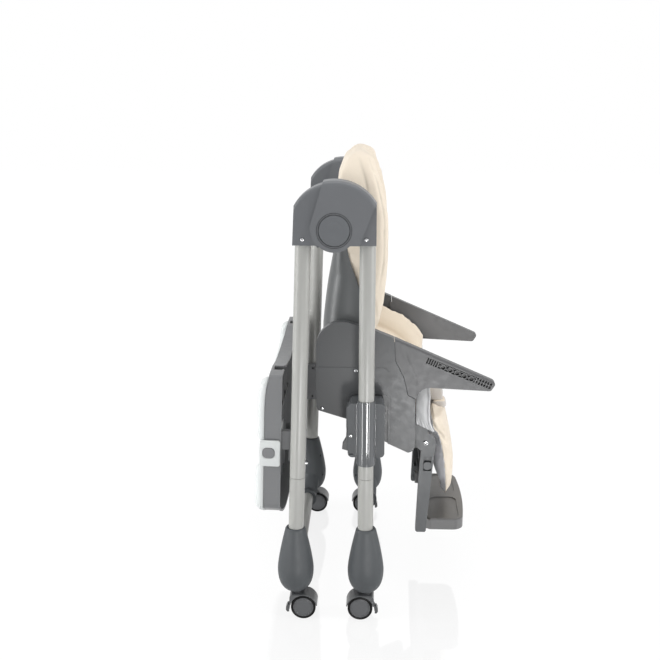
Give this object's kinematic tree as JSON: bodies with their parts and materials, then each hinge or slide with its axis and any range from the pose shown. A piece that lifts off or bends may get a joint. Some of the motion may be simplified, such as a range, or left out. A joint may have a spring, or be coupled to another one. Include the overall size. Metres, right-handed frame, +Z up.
{
  "type": "folding baby high chair",
  "caption": "Folding baby high chair in its folded self-standing pose: A-frame legs on castors, padded reclining seat with footrest, and a tray stored on the rear legs.",
  "frame": {"origin": "on the floor at Z = 0, in the chair's middle plane, midway front to back between the tray's outer face and the armrest tips", "axes": "+X to the child's front (the footrest's side), +Y to the child's left, +Z up; the rest pose is the folded chair standing on its castors"},
  "size_m": [0.4676, 0.58, 0.926],
  "materials": {
    "grey_plastic": "satin",
    "panel_plastic": "satin",
    "gloss_grey": "gloss",
    "dark_plastic": "satin",
    "tube_paint": "satin",
    "steel": "polished",
    "zinc": "satin",
    "castor_wheel": "satin",
    "white_plastic": "satin",
    "plate_plastic": "matte",
    "pad_cover": "matte",
    "strap_cover": "matte"
  },
  "bodies": {
    "front_frame": {"front_hub_cover_left": "grey_plastic", "front_hub_cover_right": "grey_plastic", "hub_pivot_pins": "zinc", "front_hub_screws": "steel", "front_upper_tubes": "tube_paint", "front_lower_tubes": "tube_paint", "front_foot_left": "grey_plastic", "front_foot_right": "grey_plastic", "front_cross_tube": "tube_paint"},
    "rear_frame": {"rear_hub_cover_left": "grey_plastic", "rear_hub_cover_right": "grey_plastic", "rear_hub_screws": "steel", "rear_upper_tubes": "tube_paint", "rear_lower_tubes": "tube_paint", "leg_snap_buttons": "white_plastic", "rear_foot_left": "grey_plastic", "rear_foot_right": "grey_plastic", "rear_cross_tube": "tube_paint", "tray_bracket_left": "grey_plastic", "tray_bracket_right": "grey_plastic"},
    "seat": {"side_panel_left": "panel_plastic", "side_panel_right": "panel_plastic", "armrest_rail_left": "panel_plastic", "armrest_rail_right": "panel_plastic", "slider_housing_left": "gloss_grey", "slider_housing_right": "gloss_grey", "seat_shell": "dark_plastic", "seat_pad": "pad_cover", "crotch_strap": "strap_cover", "panel_screws": "steel"},
    "backrest": {"back_shell": "grey_plastic", "back_pad": "pad_cover"},
    "footrest": {"footrest_arm_left": "grey_plastic", "footrest_arm_right": "grey_plastic", "leg_panel": "dark_plastic", "footplate": "plate_plastic", "leg_pad": "pad_cover", "footrest_screws": "steel"},
    "tray": {"tray_base": "grey_plastic"},
    "tray_insert": {"tray_insert": "white_plastic"},
    "fold_button_left": {"fold_button_left": "dark_plastic"},
    "tray_button_left": {"tray_button_left": "dark_plastic"},
    "footrest_button_left": {"footrest_button_left": "dark_plastic"},
    "height_lever_left": {"height_lever_left": "dark_plastic"},
    "fold_button_right": {"fold_button_right": "dark_plastic"},
    "tray_button_right": {"tray_button_right": "dark_plastic"},
    "footrest_button_right": {"footrest_button_right": "dark_plastic"},
    "height_lever_right": {"height_lever_right": "dark_plastic"},
    "castor_front_left": {"castor_hood_front_left": "grey_plastic"},
    "wheels_front_left": {"castor_wheels_front_left": "castor_wheel"},
    "brake_front_left": {"castor_brake_front_left": "dark_plastic"},
    "castor_front_right": {"castor_hood_front_right": "grey_plastic"},
    "wheels_front_right": {"castor_wheels_front_right": "castor_wheel"},
    "brake_front_right": {"castor_brake_front_right": "dark_plastic"},
    "castor_rear_left": {"castor_hood_rear_left": "grey_plastic"},
    "wheels_rear_left": {"castor_wheels_rear_left": "castor_wheel"},
    "brake_rear_left": {"castor_brake_rear_left": "dark_plastic"},
    "castor_rear_right": {"castor_hood_rear_right": "grey_plastic"},
    "wheels_rear_right": {"castor_wheels_rear_right": "castor_wheel"},
    "brake_rear_right": {"castor_brake_rear_right": "dark_plastic"}
  },
  "joints": [
    {"name": "fold", "type": "hinge", "parent": "front_frame", "child": "rear_frame", "pos_m": [-0.0779, 0, 0.7877], "axis": [0, 1, 0], "range_deg": [0, 40]},
    {"name": "seat_height", "type": "slide", "parent": "front_frame", "child": "seat", "axis": [0, 0, 1], "range_m": [0, 0.26]},
    {"name": "recline", "type": "hinge", "parent": "seat", "child": "backrest", "pos_m": [-0.066, 0, 0.548], "axis": [0, -1, 0], "range_deg": [0, 40]},
    {"name": "footrest_lift", "type": "hinge", "parent": "seat", "child": "footrest", "pos_m": [0.105, 0, 0.333], "axis": [0, -1, 0], "range_deg": [0, 45]},
    {"name": "tray_lift_off", "type": "slide", "parent": "rear_frame", "child": "tray", "axis": [0.0303, 0, 0.9995], "range_m": [0, 0.06]},
    {"name": "insert_lift_out", "type": "slide", "parent": "tray", "child": "tray_insert", "axis": [-0.9995, 0, 0.0303], "range_m": [0, 0.06]},
    {"name": "fold_button_left_press", "type": "slide", "parent": "front_frame", "child": "fold_button_left", "axis": [0, -1, 0], "range_m": [0, 0.004], "stiffness_N_per_m": 300, "springref_m": -0.002},
    {"name": "tray_button_left_press", "type": "slide", "parent": "tray_insert", "child": "tray_button_left", "axis": [0, -1, 0], "range_m": [0, 0.002], "stiffness_N_per_m": 300, "springref_m": -0.002},
    {"name": "footrest_button_left_press", "type": "slide", "parent": "footrest", "child": "footrest_button_left", "axis": [0, -1, 0], "range_m": [0, 0.0018], "stiffness_N_per_m": 300, "springref_m": -0.002},
    {"name": "height_lever_left_squeeze", "type": "hinge", "parent": "seat", "child": "height_lever_left", "pos_m": [-0.0485, 0.254, 0.397], "axis": [0, -1, 0], "range_deg": [0, 10], "stiffness_Nm_per_rad": 0.05, "springref_deg": -11.46},
    {"name": "fold_button_right_press", "type": "slide", "parent": "front_frame", "child": "fold_button_right", "axis": [0, 1, 0], "range_m": [0, 0.004], "stiffness_N_per_m": 300, "springref_m": -0.002},
    {"name": "tray_button_right_press", "type": "slide", "parent": "tray_insert", "child": "tray_button_right", "axis": [0, 1, 0], "range_m": [0, 0.002], "stiffness_N_per_m": 300, "springref_m": -0.002},
    {"name": "footrest_button_right_press", "type": "slide", "parent": "footrest", "child": "footrest_button_right", "axis": [0, 1, 0], "range_m": [0, 0.0018], "stiffness_N_per_m": 300, "springref_m": -0.002},
    {"name": "height_lever_right_squeeze", "type": "hinge", "parent": "seat", "child": "height_lever_right", "pos_m": [-0.0485, -0.254, 0.397], "axis": [0, -1, 0], "range_deg": [0, 10], "stiffness_Nm_per_rad": 0.05, "springref_deg": -11.46},
    {"name": "castor_front_left_swivel", "type": "hinge", "parent": "front_frame", "child": "castor_front_left", "pos_m": [-0.013, 0.254, 0.04], "axis": [0, 0, 1], "continuous": true},
    {"name": "wheels_front_left_roll", "type": "hinge", "parent": "castor_front_left", "child": "wheels_front_left", "pos_m": [-0.0255, 0.254, 0.025], "axis": [0, 1, 0], "continuous": true},
    {"name": "brake_front_left_press", "type": "hinge", "parent": "castor_front_left", "child": "brake_front_left", "pos_m": [-0.0105, 0.254, 0.038], "axis": [0, 1, 0], "range_deg": [0, 8]},
    {"name": "castor_front_right_swivel", "type": "hinge", "parent": "front_frame", "child": "castor_front_right", "pos_m": [-0.013, -0.254, 0.04], "axis": [0, 0, 1], "continuous": true},
    {"name": "wheels_front_right_roll", "type": "hinge", "parent": "castor_front_right", "child": "wheels_front_right", "pos_m": [-0.0255, -0.254, 0.025], "axis": [0, 1, 0], "continuous": true},
    {"name": "brake_front_right_press", "type": "hinge", "parent": "castor_front_right", "child": "brake_front_right", "pos_m": [-0.0105, -0.254, 0.038], "axis": [0, 1, 0], "range_deg": [0, 8]},
    {"name": "castor_rear_left_swivel", "type": "hinge", "parent": "rear_frame", "child": "castor_rear_left", "pos_m": [-0.1519, 0.254, 0.04], "axis": [0, 0, 1], "continuous": true},
    {"name": "wheels_rear_left_roll", "type": "hinge", "parent": "castor_rear_left", "child": "wheels_rear_left", "pos_m": [-0.1394, 0.254, 0.025], "axis": [0, 1, 0], "continuous": true},
    {"name": "brake_rear_left_press", "type": "hinge", "parent": "castor_rear_left", "child": "brake_rear_left", "pos_m": [-0.1544, 0.254, 0.038], "axis": [0, -1, 0], "range_deg": [0, 8]},
    {"name": "castor_rear_right_swivel", "type": "hinge", "parent": "rear_frame", "child": "castor_rear_right", "pos_m": [-0.1519, -0.254, 0.04], "axis": [0, 0, 1], "continuous": true},
    {"name": "wheels_rear_right_roll", "type": "hinge", "parent": "castor_rear_right", "child": "wheels_rear_right", "pos_m": [-0.1394, -0.254, 0.025], "axis": [0, 1, 0], "continuous": true},
    {"name": "brake_rear_right_press", "type": "hinge", "parent": "castor_rear_right", "child": "brake_rear_right", "pos_m": [-0.1544, -0.254, 0.038], "axis": [0, -1, 0], "range_deg": [0, 8]}
  ]
}
